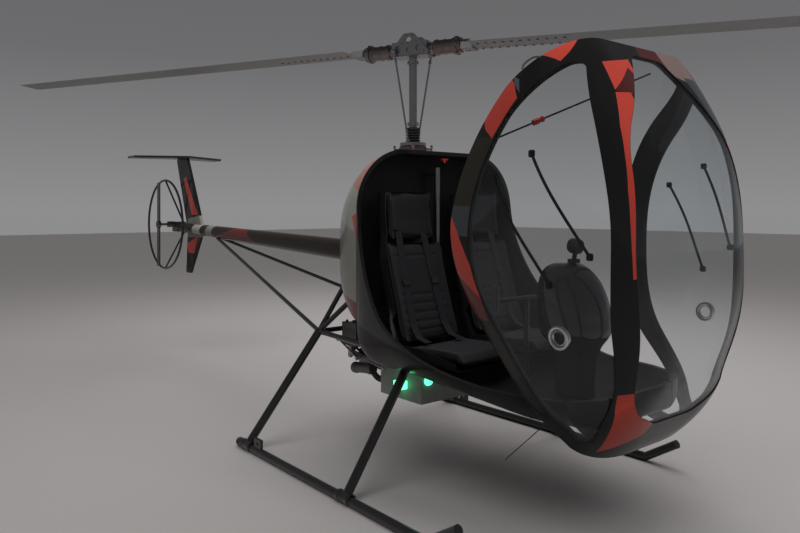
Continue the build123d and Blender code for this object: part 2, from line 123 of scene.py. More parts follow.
class Graph:
    """A node tree under construction."""

    def __init__(self, tree):
        self.tree = tree

    def join(self, socket, value):
        """Links a field, or sets a value; one number on a colour socket is a grey."""
        if isinstance(value, Field):
            self.tree.links.new(value.socket, socket)
        elif socket.type == "RGBA":
            grey = isinstance(value, float)
            socket.default_value = (value, value, value, 1.0) if grey else (*value, 1.0)
        else:
            socket.default_value = value

    def node(self, kind, settings, sockets, output=0):
        made = self.tree.nodes.new(kind)
        for name, value in settings.items():
            if name == "stops":
                ramp = made.color_ramp
                while len(ramp.elements) < len(value):
                    ramp.elements.new(0.5)
                for element, (position, colour) in zip(ramp.elements, value):
                    element.position = position
                    element.color = (*colour, 1.0)
            else:
                setattr(made, name, value)
        for name, value in sockets.items():
            socket = made.inputs[name]
            if isinstance(name, str):
                socket = next(s for s in made.inputs if s.name == name and s.enabled)
            self.join(socket, value)
        found = made.outputs[output]
        if isinstance(output, str):
            found = next(s for s in made.outputs if s.name == output and s.enabled)
        return Field(self, found)


class Coat(Graph):
    """A material with its Principled shader, filed under its name."""

    def __init__(self, name, metallic=0.0, roughness=0.5):
        self.material = bpy.data.materials.new(name)
        self.material.use_nodes = True
        super().__init__(self.material.node_tree)
        self.shader = self.tree.nodes["Principled BSDF"]
        self.set(Metallic=metallic, Roughness=roughness)
        self.place = self.node("ShaderNodeTexCoord", {}, {}, "Object")
        COATS[name] = self.material

    def set(self, **values):
        for name, value in values.items():
            self.feed(name.replace("_", " "), value)

    def feed(self, name, value):
        self.join(self.shader.inputs[name], value)

    def mix(self, amount, under, over):
        return self.node("ShaderNodeMix", {"data_type": "RGBA"},
                         {"Factor": amount, "A": under, "B": over}, "Result")

    def colour(self, amount, under, over):
        self.feed("Base Color", self.mix(amount, under, over))

    def noise(self, scale, detail=3.0, stretch=(1.0, 1.0, 1.0)):
        place = self.node("ShaderNodeMapping", {}, {"Vector": self.place, "Scale": stretch})
        return self.node("ShaderNodeTexNoise", {},
                         {"Vector": place, "Scale": scale, "Detail": detail}, "Fac")

    def ribs(self, direction, scale, distortion=0.0):
        return self.node("ShaderNodeTexWave", {"bands_direction": direction},
                         {"Vector": self.place, "Scale": scale, "Distortion": distortion}, "Fac")

    def bump(self, height, strength):
        """Raised grain, 2 mm high at full strength."""
        self.feed("Normal", self.node("ShaderNodeBump", {}, {
            "Height": height, "Strength": strength, "Distance": 0.002}))

    def axis(self, x, y, z):
        """Distance of the shaded point along a direction."""
        return self.node("ShaderNodeVectorMath", {"operation": "DOT_PRODUCT"},
                         {0: self.place, 1: (x, y, z)}, "Value")

    def facet(self, view, corners):
        """1 inside a convex patch, drawn in the side view (x, z) or the bow view (y, z)."""
        area = sum(a[0] * b[1] - b[0] * a[1] for a, b in zip(corners, corners[1:] + corners[:1]))
        turn = 1.0 if area > 0 else -1.0
        inside = None if view == "side" else self.axis(1.0, 0.0, 0.0) - BOW_START
        for (u0, z0), (u1, z1) in zip(corners, corners[1:] + corners[:1]):
            length = math.hypot(u1 - u0, z1 - z0)
            nu = -(z1 - z0) / length * turn
            nz = (u1 - u0) / length * turn
            along = (nu, 0.0, nz) if view == "side" else (0.0, nu, nz)
            edge = self.axis(*along) - (nu * u0 + nz * z0)
            inside = edge if inside is None else inside.least(edge)
        return inside > 0.0


# %% [markdown]
# ## The livery
# The real machine is gloss black with hard edged facets in coral red, slate grey and warm
# grey. Facets that are cut by straight lines need no picture: each is a convex patch of the
# side view or the bow view, and its mask chooses the paint. The side view suits flanks. The
# bow view suits pillars and roof, which the side view would only see edge on.

# %% Livery paint
CORAL = (0.37, 0.040, 0.026)
SLATE = (0.030, 0.036, 0.038)
BLUE_GREY = (0.045, 0.065, 0.080)
OLIVE = (0.16, 0.155, 0.13)
STONE = (0.25, 0.245, 0.22)
ROSE = (0.34, 0.15, 0.12)
BRICK = (0.10, 0.018, 0.014)
WINE = (0.050, 0.009, 0.009)
DUSK = (0.14, 0.095, 0.090)
SHADE = (0.016, 0.013, 0.009)
GLOSS_BLACK = (0.006, 0.0055, 0.006)
BOOM_BLACK = (0.014, 0.010, 0.008)


def lacquer(name, ground, patches):
    """Gloss paint in facets, under a clear coat with a faint orange peel."""
    coat = Coat(name, roughness=0.32)
    colour = ground
    for view, paint, corners in patches:
        colour = coat.mix(coat.facet(view, corners), colour, paint)
    dust = coat.noise(3.0, 4.0)
    coat.colour(dust * 0.03, colour, (0.16, 0.15, 0.14))
    coat.feed("Roughness", 0.30 + dust * 0.14)
    coat.set(Coat_Weight=0.5, Coat_Roughness=0.05, Coat_IOR=1.33, Specular_IOR_Level=0.10)
    coat.bump(coat.noise(420.0, 1.0), 0.012)


def side_facets(*table):
    """Side view patches given in mast coordinates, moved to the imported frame."""
    return [("side", paint, [(x + MAST_X, z) for x, z in corners]) for paint, corners in table]


SHELL_FACETS = side_facets(
    (OLIVE, [(-0.70, 0.8), (0.90, 0.8), (0.90, 1.9), (-0.70, 1.9)]),
    (STONE, [(-0.40, 1.48), (0.30, 1.34), (0.30, 1.62), (-0.25, 1.74)]),
    (ROSE, [(-0.30, 1.95), (-0.25, 1.72), (0.30, 1.56), (0.36, 1.95)]),
    (CORAL, [(0.18, 1.44), (0.31, 1.47), (0.31, 1.27), (0.229, 1.345)]),
    (BRICK, [(-0.30, 0.8), (0.90, 0.7), (0.60, 0.93), (-0.10, 1.00)]),
    (GLOSS_BLACK, [(0.247, 0.5), (0.90, 0.5), (0.90, 1.95), (0.247, 1.95)]),
)
BOOM_FACETS = side_facets(
    (BRICK, [(-2.75, 1.22), (-2.25, 1.34), (-2.00, 1.20)]),
    (OLIVE, [(-3.00, 1.1), (-2.86, 1.1), (-2.80, 1.4), (-2.94, 1.4)]),
    (STONE, [(-3.32, 1.0), (-3.14, 1.0), (-3.06, 1.5), (-3.24, 1.5)]),
)
FIN_FACETS = side_facets(
    (OLIVE, [(-3.50, 1.20), (-3.05, 1.20), (-3.12, 1.42), (-3.45, 1.38)]),
    (CORAL, [(-3.36, 1.42), (-3.22, 1.42), (-3.50, 1.80), (-3.56, 1.78)]),
    (CORAL, [(-3.48, 1.13), (-3.22, 1.21), (-3.30, 1.04), (-3.44, 1.04)]),
)
# The canopy as it stands tilted. Its hoop is set out on the side view, from the top down.
CANOPY_FACETS = side_facets(
    (SHADE, [(1.02, 1.49), (1.24, 1.485), (1.36, 1.79), (1.12, 1.80)]),
    (SLATE, [(1.02, 1.36), (1.25, 1.36), (1.25, 1.49), (1.02, 1.50)]),
    (CORAL, [(1.22, 1.90), (1.36, 2.06), (1.405, 2.011), (1.437, 1.946), (1.313, 1.785),
             (1.255, 1.83)]),
    (BLUE_GREY, [(1.36, 2.06), (1.425, 2.03), (1.45, 1.95), (1.437, 1.946), (1.405, 2.011)]),
    (CORAL, [(1.00, 1.47), (1.085, 1.449), (1.128, 1.385), (1.172, 1.30), (1.215, 1.21),
             (1.235, 1.088), (1.108, 1.18), (1.00, 1.26)]),
    (BRICK, [(1.108, 1.18), (1.235, 1.088), (1.25, 0.985), (1.175, 0.99), (1.10, 1.08)]),
    (SHADE, [(1.15, 0.93), (1.27, 0.97), (1.42, 0.78), (1.30, 0.70)]),
)
# The pillars, the roof band and the chin are set out on the bow view, starboard at the left.
SCREEN_FACETS = [("bow", paint, corners) for paint, corners in (
    (CORAL, [(-0.590, 2.17), (-0.534, 2.096), (-0.485, 2.142), (-0.42, 2.205), (-0.47, 2.26)]),
    (WINE, [(-0.02, 2.30), (0.12, 2.30), (0.15, 2.10), (0.10, 2.08), (-0.045, 2.17)]),
    (DUSK, [(0.12, 2.30), (0.40, 2.25), (0.36, 2.06), (0.15, 2.10)]),
    (CORAL, [(-0.379, 2.099), (-0.173, 2.136), (-0.20, 1.98), (-0.328, 1.957), (-0.387, 1.972)]),
    (WINE, [(-0.387, 1.972), (-0.218, 2.092), (-0.15, 2.00), (-0.328, 1.955)]),
    (CORAL, [(-0.391, 1.961), (-0.435, 1.818), (-0.452, 1.695), (-0.463, 1.556),
             (-0.463, 1.419), (-0.461, 1.321), (-0.457, 1.204), (-0.30, 1.25), (-0.30, 1.966)]),
    (CORAL, [(-0.430, 0.73), (-0.30, 0.74), (-0.15, 0.60), (-0.186, 0.519), (-0.382, 0.457),
             (-0.403, 0.551), (-0.420, 0.654)]),
    (SLATE, [(0.25, 2.10), (0.64, 2.10), (0.64, 1.86), (0.34, 1.86)]),
    (CORAL, [(0.34, 1.80), (0.64, 1.80), (0.64, 1.42), (0.42, 1.42)]),
)]

lacquer("shell_paint", GLOSS_BLACK, SHELL_FACETS)
lacquer("boom_paint", BOOM_BLACK, BOOM_FACETS)
lacquer("fin_paint", GLOSS_BLACK, FIN_FACETS)
lacquer("canopy_paint", GLOSS_BLACK, CANOPY_FACETS + SCREEN_FACETS)

# %% [markdown]
# ## Plain finishes
# Each of these is one Principled shader whose colour, roughness and bump follow small
# patterns: grain in moulded plastic, weave in cloth, brushing in metal.

# %% Plastics, rubber and cloth
coat = Coat("tub_black")
scuff = coat.noise(9.0, 5.0)
coat.colour(scuff * 0.5, 0.006, (0.016, 0.015, 0.014))
coat.feed("Roughness", 0.26 + scuff * 0.2)
coat.set(Coat_Weight=0.2, Coat_Roughness=0.12, Coat_IOR=1.33, Specular_IOR_Level=0.08)
coat.bump(coat.noise(260.0, 2.0), 0.05)

coat = Coat("trim_black")
grain = coat.noise(380.0, 2.0)
coat.colour(coat.noise(6.0), 0.007, (0.015, 0.015, 0.016))
coat.set(Specular_IOR_Level=0.25)
coat.feed("Roughness", 0.62 + grain * 0.2)
coat.bump(grain, 0.05)

coat = Coat("seat_cloth", roughness=0.85)
weave = coat.ribs("Z", 190.0, 1.5) * coat.ribs("Y", 190.0, 1.5)
coat.colour(weave, (0.007, 0.007, 0.008), (0.020, 0.020, 0.022))
coat.feed("Roughness", 0.78 + coat.noise(12.0) * 0.15)
coat.set(Sheen_Weight=0.04, Specular_IOR_Level=0.25)
coat.bump(weave, 0.06)

coat = Coat("gloss_black")
smear = coat.noise(5.0, 4.0)
coat.colour(smear * 0.2, (0.005, 0.005, 0.006), 0.02)
coat.feed("Roughness", 0.16 + smear * 0.16)
coat.set(Coat_Weight=0.8, Coat_Roughness=0.04, Specular_IOR_Level=0.15)
coat.bump(coat.noise(300.0, 1.0), 0.01)

coat = Coat("satin_black")
rub = coat.noise(14.0, 5.0)
worn = coat.noise(70.0, 3.0) > 0.74
black = coat.mix(rub, 0.006, (0.014, 0.013, 0.013))
coat.colour(worn * 0.35, black, 0.12)
coat.feed("Roughness", 0.20 + rub * 0.22)
coat.set(Coat_Weight=0.6, Coat_Roughness=0.08, Specular_IOR_Level=0.25)
coat.bump(coat.noise(500.0, 1.0), 0.03)

coat = Coat("rubber_black")
chalk = coat.noise(20.0, 4.0)
coat.colour(chalk * 0.5, 0.010, 0.05)
coat.feed("Roughness", 0.6 + chalk * 0.25)
coat.bump(coat.noise(600.0, 1.0), 0.08)

coat = Coat("grey_panel")
mark = coat.noise(22.0, 4.0)
coat.colour(mark, (0.15, 0.16, 0.15), (0.24, 0.25, 0.24))
coat.feed("Roughness", 0.42 + mark * 0.2)
coat.bump(coat.noise(400.0, 1.0), 0.04)

# %% Metals
def metal(name, dark, light, roughness, grain=(1.0, 1.0, 1.0), depth=0.05, scale=60.0):
    """Bare metal with a grain that runs along the stretched axis."""
    coat = Coat(name, metallic=1.0)
    streak = coat.noise(scale, 4.0, grain)
    stain = coat.noise(9.0, 4.0)
    coat.colour(streak * 0.6 + stain * 0.4, dark, light)
    coat.feed("Roughness", roughness + streak * 0.18 + stain * 0.08)
    coat.bump(streak, depth)


metal("bright_metal", (0.24, 0.24, 0.25), (0.44, 0.44, 0.45), 0.26, (1, 1, 6), depth=0.012)
metal("dark_metal", (0.15, 0.13, 0.12), (0.30, 0.27, 0.26), 0.28, (1, 1, 6), depth=0.012)
metal("chrome", (0.55, 0.55, 0.56), (0.75, 0.75, 0.76), 0.05, depth=0.01)
metal("cast_alloy", 0.08, 0.26, 0.36, depth=0.3, scale=220.0)
metal("exhaust_steel", (0.20, 0.16, 0.12), (0.52, 0.50, 0.47), 0.26, (1, 8, 1))

coat = Coat("blade_grey", metallic=0.35)
streak = coat.noise(30.0, 4.0, (0.2, 1.0, 1.0))
coat.colour(streak, 0.19, 0.30)
coat.feed("Roughness", 0.34 + streak * 0.15)
coat.bump(coat.noise(300.0, 1.0), 0.03)

# %% Lamps
def lamp(name, glow, strength):
    coat = Coat(name, roughness=0.08)
    ripple = coat.ribs("X", 60.0)
    coat.colour(ripple, glow, tuple(0.6 * c for c in glow))
    coat.feed("Emission Color", coat.mix(ripple, glow, tuple(min(1.0, c + 0.15) for c in glow)))
    coat.set(Emission_Strength=strength)


lamp("lamp_green", (0.01, 0.85, 0.25), 3.2)
# The red lamp's slot also holds parts that are no lamps, such as a dark red knob. On them this
# glow is a painted glow.
lamp("lamp_red", (0.85, 0.04, 0.02), 1.2)

# %% Red plastic and webbing
coat = Coat("red_knob")
wear = coat.noise(40.0, 3.0)
coat.colour(wear, (0.30, 0.012, 0.014), (0.42, 0.03, 0.03))
coat.feed("Roughness", 0.30 + wear * 0.2)
coat.bump(wear, 0.05)

coat = Coat("webbing", roughness=0.7)
rib = coat.ribs("Y", 140.0)
coat.colour(rib, (0.005, 0.005, 0.006), (0.015, 0.015, 0.017))
coat.feed("Roughness", 0.55 + rib * 0.2)
coat.bump(rib, 0.3)

# %% [markdown]
# Clear plastic is mostly nothing: light goes straight through, with a thin reflection that
# grows towards the edges. A Mix Shader of transparent and glossy says just that.

# %% Clear plastic
coat = Coat("clear_glass", roughness=0.03)
clear = coat.node("ShaderNodeBsdfTransparent", {}, {"Color": (0.95, 0.965, 0.97)})
gloss = coat.node("ShaderNodeBsdfGlossy", {}, {"Color": (0.95, 0.96, 0.97), "Roughness": 0.04})
facing = coat.node("ShaderNodeLayerWeight", {}, {"Blend": 0.5}, "Facing")
square = facing * facing
edge = 0.018 + square * square * facing * 0.7
haze = coat.noise(2.0, 4.0) * 0.008
mixed = coat.node("ShaderNodeMixShader", {}, {0: edge + haze, 1: clear, 2: gloss})
coat.join(coat.tree.nodes["Material Output"].inputs["Surface"], mixed)

# %% Finishes on the CAD nodes
OWN_COAT = {"tail_rotor_hub": "dark_metal"}     # darker than its slot's other pieces
for name, node in NODES.items():
    for place in range(len(node.material_slots)):
        node.material_slots[place].material = COATS[OWN_COAT.get(name, SLOT_OF[name])]
print("finishes", sorted(COATS))

# %% [markdown]
# ## Helpers for the fittings
# The CAD model gives the big shapes. What it leaves out is small: sleeves, rings, rods,
# bolts. Most of these are turned on a lathe or bent from rod on the real machine, so two
# helpers do the same here. Foam, trays and webbing are skins over rows of points.

# %% Points, surfaces and pieces
def at(x, y, z):
    """A point in mast coordinates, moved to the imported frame."""
    return Vector((x + MAST_X, y, z))


def touch(node, start, toward):
    """Where a ray meets a CAD node, and which way its surface faces there."""
    mesh = NODES[node].data
    tree = BVHTree.FromPolygons([v.co for v in mesh.vertices],
                                [p.vertices[:] for p in mesh.polygons])
    return tree.ray_cast(start, toward.normalized())[:2]


def add_piece(name, body, coat, mesh, crease=35.0):
    """Files a finished mesh as a piece that rides on a body."""
    mesh.name = name
    mesh.materials.clear()
    mesh.materials.append(COATS[coat])
    mesh.polygons.foreach_set("use_smooth", [True] * len(mesh.polygons))
    mesh.set_sharp_from_angle(angle=math.radians(crease))
    piece = bpy.data.objects.new(name, mesh)
    bpy.context.scene.collection.objects.link(piece)
    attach(piece, body)
    return piece


def finished(shape):
    """The mesh of a bmesh shape, which is freed."""
    mesh = bpy.data.meshes.new("shape")
    shape.to_mesh(mesh)
    shape.free()
    return mesh


def merged(meshes):
    """One mesh made of several, which then go."""
    shape = bmesh.new()
    for mesh in meshes:
        shape.from_mesh(mesh)
        bpy.data.meshes.remove(mesh)
    return finished(shape)


def as_mesh(made):
    """The evaluated shape of a helper object, whose own data then goes."""
    bpy.context.scene.collection.objects.link(made)
    depsgraph = bpy.context.evaluated_depsgraph_get()
    mesh = bpy.data.meshes.new_from_object(made.evaluated_get(depsgraph))
    bpy.data.objects.remove(made)
    return mesh


# %% Bent rod and turned shapes
def bent_rod(points, radius, bends=False):
    """Round bar through points, straight between them or bent along a smooth line."""
    curve = bpy.data.curves.new("rod", "CURVE")
    curve.dimensions = "3D"
    curve.bevel_depth = radius
    curve.bevel_resolution = 3
    curve.use_fill_caps = True
    spline = curve.splines.new("NURBS" if bends else "POLY")
    spline.points.add(len(points) - 1)
    for target, point in zip(spline.points, points):
        target.co = (*point, 1.0)
    if bends:
        spline.order_u = 3
        spline.use_endpoint_u = True
    return as_mesh(bpy.data.objects.new("rod", curve))


def circle(count):
    """Cosine and sine at equal steps round a circle."""
    turns = [2 * math.pi * k / count for k in range(count)]
    return [(math.cos(turn), math.sin(turn)) for turn in turns]


def skin(rows, ends="closed", around=True):
    """Faces over rows of points, whose first and last rows are closed, joined or open."""
    shape = bmesh.new()
    rows = [[shape.verts.new(point) for point in row] for row in rows]
    pairs = list(zip(rows, rows[1:]))
    if ends == "joined":
        pairs.append((rows[-1], rows[0]))
    for low, high in pairs:
        for k in range(0 if around else 1, len(low)):
            shape.faces.new((low[k - 1], low[k], high[k], high[k - 1]))
    if ends == "closed":
        shape.faces.new(rows[0])
        shape.faces.new(rows[-1])
    bmesh.ops.recalc_face_normals(shape, faces=shape.faces)
    return finished(shape)


def lathe(profile, place, axis, sides=32, ring=False):
    """Turns (radius, height) pairs about an axis; a ring joins its last pair to its first."""
    mesh = skin([[(radius * c, radius * s, height) for c, s in circle(sides)]
                 for radius, height in profile], "joined" if ring else "closed")
    turn = Vector(axis).to_track_quat("Z", "Y").to_matrix().to_4x4()
    mesh.transform(Matrix.Translation(place) @ turn)
    return mesh


def block(centre, size, turn=None, bevel=0.002):
    """Small machined block with broken edges."""
    shape = bmesh.new()
    bmesh.ops.create_cube(shape, size=1.0)
    shape.transform(Matrix.Diagonal((*size, 1.0)))
    bmesh.ops.bevel(shape, geom=shape.edges[:], offset=bevel, segments=2, affect="EDGES")
    shape.transform(Matrix.Translation(centre) @ (turn or Matrix.Identity(4)))
    return finished(shape)


# %% [markdown]
# ## Bolts by Geometry Nodes
# Bolt heads repeat by the dozen. A Geometry Nodes tree sets one hexagonal head on each point
# of a small mesh, turned to the direction stored with that point, so a row of bolts is
# only a list of places.

# %% The bolt tree
def bolt_tree():
    tree = bpy.data.node_groups.new("bolt heads", "GeometryNodeTree")
    tree.interface.new_socket("Geometry", in_out="OUTPUT", socket_type="NodeSocketGeometry")
    tree.interface.new_socket("Geometry", in_out="INPUT", socket_type="NodeSocketGeometry")
    for name in ("Head Radius", "Head Height"):
        tree.interface.new_socket(name, in_out="INPUT", socket_type="NodeSocketFloat")
    tree.interface.new_socket("Finish", in_out="INPUT", socket_type="NodeSocketMaterial")
    given = tree.nodes.new("NodeGroupInput")
    result = tree.nodes.new("NodeGroupOutput")
    head = tree.nodes.new("GeometryNodeMeshCylinder")
    head.inputs["Vertices"].default_value = 6
    facing = tree.nodes.new("GeometryNodeInputNamedAttribute")
    facing.data_type = "FLOAT_VECTOR"
    facing.inputs["Name"].default_value = "facing"
    align = tree.nodes.new("FunctionNodeAlignEulerToVector")
    align.axis = "Z"
    spread = tree.nodes.new("GeometryNodeInstanceOnPoints")
    solid = tree.nodes.new("GeometryNodeRealizeInstances")
    paint = tree.nodes.new("GeometryNodeSetMaterial")
    for source, out, target, into in (
            (given, "Head Radius", head, "Radius"), (given, "Head Height", head, "Depth"),
            (given, "Geometry", spread, "Points"), (head, "Mesh", spread, "Instance"),
            (facing, "Attribute", align, "Vector"), (align, "Rotation", spread, "Rotation"),
            (spread, "Instances", solid, "Geometry"), (solid, "Geometry", paint, "Geometry"),
            (given, "Finish", paint, "Material"), (paint, "Geometry", result, "Geometry")):
        tree.links.new(source.outputs[out], target.inputs[into])
    return tree


BOLTS = bolt_tree()


def bolts(name, body, coat, places, radius, height):
    """One piece with a bolt head at each (place, facing)."""
    mesh = bpy.data.meshes.new(name)
    mesh.from_pydata([place for place, facing in places], [], [])
    stored = mesh.attributes.new("facing", "FLOAT_VECTOR", "POINT")
    stored.data.foreach_set("vector", [c for place, facing in places for c in facing])
    made = bpy.data.objects.new(name, mesh)
    modifier = made.modifiers.new("bolts", "NODES")
    modifier.node_group = BOLTS
    values = {"Head Radius": radius, "Head Height": height, "Finish": COATS[coat]}
    for item in BOLTS.interface.items_tree:
        if item.name in values and item.in_out == "INPUT":
            modifier[item.identifier] = values[item.name]
    print(name, len(places), "bolts")
    return add_piece(name, body, coat, as_mesh(made))


# %% [markdown]
# ## Seats
# Each bucket seat is a hard shell with three foam pads: cushion, back and headrest. A pad is
# a closed form whose sections are rounded boxes along a side view line. Blender's Cloth then
# blows it up a little from inside, which crowns the faces and pulls the edges in as sewn
# foam does. The sewn channels go in last, so that the swelling does not close them.

# %% Pads
SEAT_Y = 0.28
SIDES = (("right", -1), ("left", 1))
PADS = (
    # name, side view line (x, z), half width, thickness, channels along it, wing forward
    ("cushion", [(0.905, 0.700), (0.88, 0.728), (0.64, 0.714), (0.485, 0.708)], 0.196, 0.060,
     (0.22, 0.36, 0.50, 0.64, 0.78), 0.030),
    ("back", [(0.452, 0.745), (0.405, 0.880), (0.340, 1.085), (0.284, 1.285)], 0.196, 0.064,
     (0.10, 0.19, 0.28, 0.37, 0.46, 0.86), 0.050),
    ("head", [(0.281, 1.300), (0.262, 1.420), (0.248, 1.580)], 0.150, 0.056, (), 0.045),
)
PAD_RINGS = 72
PAD_AROUND = 40
SWELL_CAP = 0.007


def along(line, share):
    """The point at a share of the length of a side view line."""
    lengths = [math.dist(a, b) for a, b in zip(line, line[1:])]
    left = share * sum(lengths)
    for (a, b), length in zip(zip(line, line[1:]), lengths):
        if left <= length + 1e-9:
            k = left / length
            return a[0] + (b[0] - a[0]) * k, a[1] + (b[1] - a[1]) * k
        left -= length
    return line[-1]


def frames(line, steps, reach):
    """Share, point and outward direction at equal steps along a side view line. The
    direction is square to the line's mean run within the reach, which rounds its corners."""
    for i in range(steps + 1):
        share = i / steps
        (x0, z0), (x1, z1) = (along(line, max(share - reach, 0.0)),
                              along(line, min(share + reach, 1.0)))
        run = Vector((x1 - x0, 0, z1 - z0)).normalized()
        outward = Vector((run.z, 0, -run.x))
        if outward.z + outward.x < 0:
            outward = -outward
        yield share, along(line, share), outward


def boxy(value, power):
    """A sine or cosine pushed outwards, which turns a circle into a rounded box."""
    return math.copysign(abs(value) ** power, value)


def pad_shape(line, half, thick, wing):
    """Closed pad with rounded box sections; also gives each point's place on the pad."""
    rows = []
    marks = []
    for share, (x, z), outward in frames(line, PAD_RINGS, 0.06):
        full = max(1 - abs(2 * share - 1) ** 9, 0.0) ** (1 / 3)
        row = []
        for c, s in circle(PAD_AROUND):
            across, up = boxy(c, 0.45), boxy(s, 0.55)
            height = thick / 2 * up * max(full, 0.03) + wing * abs(across) ** 5
            row.append(at(x, half * across * (0.90 + 0.10 * full), z) + outward * height)
            marks.append((share, across, up))
        rows.append(row)
    return skin(rows), marks


def inflate(mesh, cap):
    """Blows the pad up with Cloth, no point further than the cap."""
    scene = bpy.context.scene
    made = bpy.data.objects.new("swelling", mesh)
    scene.collection.objects.link(made)
    cloth = made.modifiers.new("cloth", "CLOTH").settings
    cloth.use_pressure = True
    cloth.uniform_pressure_force = 4.0
    cloth.effector_weights.gravity = 0.0
    cloth.quality = 4
    cloth.mass = 0.4
    for step in range(1, 21):
        scene.frame_set(step)
    depsgraph = bpy.context.evaluated_depsgraph_get()
    swollen = [v.co.copy() for v in made.evaluated_get(depsgraph).data.vertices]
    most = 0.0
    for vertex, target in zip(mesh.vertices, swollen):
        move = target - vertex.co
        most = max(most, move.length)
        if move.length > cap:
            move = move.normalized() * cap
        vertex.co += move
    bpy.data.objects.remove(made)
    scene.frame_set(1)
    print("pad swelled", round(most * 1000, 1), "mm, kept to", cap * 1000)


def sew(mesh, marks, channels, depth=0.006, width=0.012):
    """Presses the sewn channels and the two long seams into a pad's face."""
    normals = [v.normal.copy() for v in mesh.vertices]
    for vertex, normal, (share, across, up) in zip(mesh.vertices, normals, marks):
        if up <= 0.2:
            continue
        press = 0.0
        if abs(across) < 0.80:
            for channel in channels:
                press = max(press, math.exp(-((share - channel) / width) ** 2))
        seam = math.exp(-((abs(across) - 0.82) / 0.035) ** 2)
        press = max(press, 0.8 * seam if 0.04 < share < 0.96 else 0.0)
        vertex.co -= normal * depth * press
    return mesh


def smoothed(mesh):
    """The mesh after one level of subdivision."""
    made = bpy.data.objects.new("fine", mesh)
    modifier = made.modifiers.new("fine", "SUBSURF")
    modifier.levels = 1
    modifier.render_levels = 1
    return as_mesh(made)


# %% Seats in place
for name, line, half, thick, channels, wing in PADS:
    mesh, marks = pad_shape(line, half, thick, wing)
    inflate(mesh, SWELL_CAP)
    fine = smoothed(sew(mesh, marks, channels))
    for side, s in SIDES:
        copy = fine.copy()
        copy.transform(Matrix.Translation((0, s * SEAT_Y, 0)))
        pad = add_piece(f"seat_{name}_{side}", "airframe", "seat_cloth", copy, 80.0)
        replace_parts(pad, "seat_" + side)

# %% [markdown]
# The shell behind the pads is a moulded tray: a back line in side view, with side walls
# that turn forward. A strip of sections across the seat makes the tray, and Solidify gives
# the wall.

# %% Seat shells
TRAY_LINE = [(0.892, 0.672), (0.60, 0.664), (0.45, 0.668), (0.392, 0.720), (0.345, 0.885),
             (0.275, 1.100), (0.224, 1.300), (0.206, 1.430), (0.203, 1.574)]
TRAY_ACROSS = ((-1.0, 0.085), (-1.0, 0.045), (-0.97, 0.012), (-0.88, 0.0), (0.0, 0.0),
               (0.88, 0.0), (0.97, 0.012), (1.0, 0.045), (1.0, 0.085))
TRAY_HALF = 0.203
TRAY_STEPS = 44


def seat_tray():
    """The moulded shell: full width to the shoulders, narrower behind the head."""
    rows = []
    for share, (x, z), outward in frames(TRAY_LINE, TRAY_STEPS, 0.05):
        half = TRAY_HALF - 0.035 * min(max(share - 0.72, 0.0) / 0.1, 1.0)
        wall = 0.45 + 0.55 * math.sin(math.pi * min(share / 0.5, 1.0)) if share < 0.5 else 1.0
        rows.append([at(x, across * half, z) + outward * height * wall
                     for across, height in TRAY_ACROSS])
    made = bpy.data.objects.new("tray", skin(rows, "open", around=False))
    wall = made.modifiers.new("wall", "SOLIDIFY")
    wall.thickness = 0.005
    wall.offset = 0.0
    return as_mesh(made)


tray = seat_tray()
for side, s in SIDES:
    copy = tray.copy()
    copy.transform(Matrix.Translation((0, s * SEAT_Y, 0)))
    add_piece("seat_tray_" + side, "airframe", "satin_black", copy, 50.0)

# %% [markdown]
# ## Rotor head
# The head is a teetering yoke between two pierced cheek plates. On each side a ribbed grip
# holds the blade, ending in a bolted flange. Bare mast, two pitch rods and a rubber bellows
# run down to the swashplate. These parts are turned metal, so they are lathe shapes.

# %% Grips, flanges and rod ends
HUB_Z = 2.48
ROTOR_TURN = math.radians(24.0)
ROTOR = (math.cos(ROTOR_TURN), math.sin(ROTOR_TURN))
GRIP = ((0.036, 0.150), (0.046, 0.152), (0.050, 0.160), (0.050, 0.176), (0.045, 0.180),
        (0.045, 0.214), (0.048, 0.217), (0.048, 0.226), (0.045, 0.229), (0.045, 0.272),
        (0.050, 0.276), (0.050, 0.292), (0.058, 0.294), (0.058, 0.306), (0.050, 0.308),
        (0.046, 0.332), (0.036, 0.334))
FLANGE_BOLTS = 10
FLANGE_RADIUS = 0.053


def rotor_point(out, across, up):
    """A point in the rotor's own directions: out along the blades, across them, up."""
    return at(out * ROTOR[0] - across * ROTOR[1], out * ROTOR[1] + across * ROTOR[0], HUB_Z + up)


hub_meshes = []
bolt_places = []
for s in (-1, 1):
    axis = Vector((s * ROTOR[0], s * ROTOR[1], 0))
    hub_meshes.append(lathe(GRIP, rotor_point(0, 0, 0), axis, 40))
    side = Vector((-ROTOR[1], ROTOR[0], 0))
    for across, up in circle(FLANGE_BOLTS):
        place = rotor_point(s * 0.310, across * FLANGE_RADIUS, up * FLANGE_RADIUS)
        bolt_places.append((place, axis))
    for out, up in ((0.10, -0.022), (0.13, -0.022), (0.05, 0.035), (0.02, 0.082)):
        for face in (-1, 1):
            bolt_places.append((rotor_point(s * out, face * 0.070, up), side * face))
add_piece("rotor_grips", "main_rotor", "dark_metal", merged(hub_meshes), 28.0)
bolts("hub_bolts", "main_rotor", "bright_metal", bolt_places, 0.0065, 0.008)

# %% Studs along the blade roots
stud_places = []
for name, s in (("blade_forward", 1), ("blade_aft", -1)):
    for k in range(11):
        for across in (0.028, -0.075):
            for up in (-1, 1):
                start = rotor_point(s * (0.46 + 0.052 * k), s * across, 0.3 * up)
                place, facing = touch(name, start, Vector((0, 0, -up)))
                if place is not None:
                    stud_places.append((place, facing))
bolts("blade_root_studs", "main_rotor", "bright_metal", stud_places, 0.0085, 0.012)

